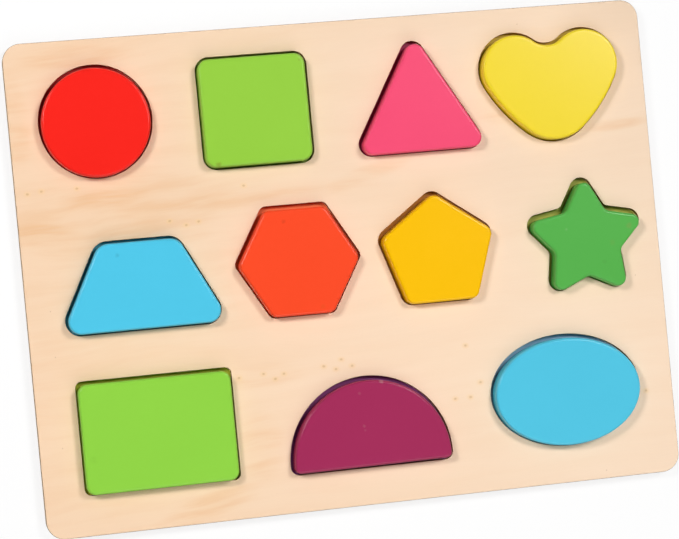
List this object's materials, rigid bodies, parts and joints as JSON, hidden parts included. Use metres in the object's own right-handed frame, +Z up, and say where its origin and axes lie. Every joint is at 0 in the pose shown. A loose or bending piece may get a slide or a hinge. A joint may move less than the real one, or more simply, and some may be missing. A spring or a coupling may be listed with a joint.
{
  "type": "wooden shape puzzle",
  "caption": "Plywood peg-free shape puzzle board with recesses, each holding a chunky painted wooden block that lifts straight out.",
  "frame": {"origin": "centre of the board's underside", "axes": "+X along the board's long side, to the right as the rows read; +Y along its short side, towards the row that starts with the circle; +Z up out of the recesses"},
  "size_m": [0.3, 0.225, 0.012],
  "materials": {
    "plywood": "sanded light plywood, clear matt lacquer",
    "red_paint": "satin paint on wood",
    "leaf_green_paint": "satin paint on wood",
    "pink_paint": "satin paint on wood",
    "yellow_paint": "satin paint on wood",
    "blue_paint": "satin paint on wood",
    "orange_paint": "satin paint on wood",
    "amber_paint": "satin paint on wood",
    "green_paint": "satin paint on wood",
    "lime_paint": "satin paint on wood",
    "plum_paint": "satin paint on wood",
    "sky_blue_paint": "satin paint on wood"
  },
  "bodies": {
    "board": {"back_board": "plywood", "frame_board": "plywood"},
    "circle": {"circle_block": "red_paint"},
    "square": {"square_block": "leaf_green_paint"},
    "triangle": {"triangle_block": "pink_paint"},
    "heart": {"heart_block": "yellow_paint"},
    "trapezoid": {"trapezoid_block": "blue_paint"},
    "hexagon": {"hexagon_block": "orange_paint"},
    "pentagon": {"pentagon_block": "amber_paint"},
    "star": {"star_block": "green_paint"},
    "rectangle": {"rectangle_block": "lime_paint"},
    "semicircle": {"semicircle_block": "plum_paint"},
    "oval": {"oval_block": "sky_blue_paint"}
  },
  "joints": [
    {"name": "circle_lift", "type": "slide", "parent": "board", "child": "circle", "axis": [0, 0, 1], "range_m": [0, 0.03]},
    {"name": "square_lift", "type": "slide", "parent": "board", "child": "square", "axis": [0, 0, 1], "range_m": [0, 0.03]},
    {"name": "triangle_lift", "type": "slide", "parent": "board", "child": "triangle", "axis": [0, 0, 1], "range_m": [0, 0.03]},
    {"name": "heart_lift", "type": "slide", "parent": "board", "child": "heart", "axis": [0, 0, 1], "range_m": [0, 0.03]},
    {"name": "trapezoid_lift", "type": "slide", "parent": "board", "child": "trapezoid", "axis": [0, 0, 1], "range_m": [0, 0.03]},
    {"name": "hexagon_lift", "type": "slide", "parent": "board", "child": "hexagon", "axis": [0, 0, 1], "range_m": [0, 0.03]},
    {"name": "pentagon_lift", "type": "slide", "parent": "board", "child": "pentagon", "axis": [0, 0, 1], "range_m": [0, 0.03]},
    {"name": "star_lift", "type": "slide", "parent": "board", "child": "star", "axis": [0, 0, 1], "range_m": [0, 0.03]},
    {"name": "rectangle_lift", "type": "slide", "parent": "board", "child": "rectangle", "axis": [0, 0, 1], "range_m": [0, 0.03]},
    {"name": "semicircle_lift", "type": "slide", "parent": "board", "child": "semicircle", "axis": [0, 0, 1], "range_m": [0, 0.03]},
    {"name": "oval_lift", "type": "slide", "parent": "board", "child": "oval", "axis": [0, 0, 1], "range_m": [0, 0.03]}
  ]
}
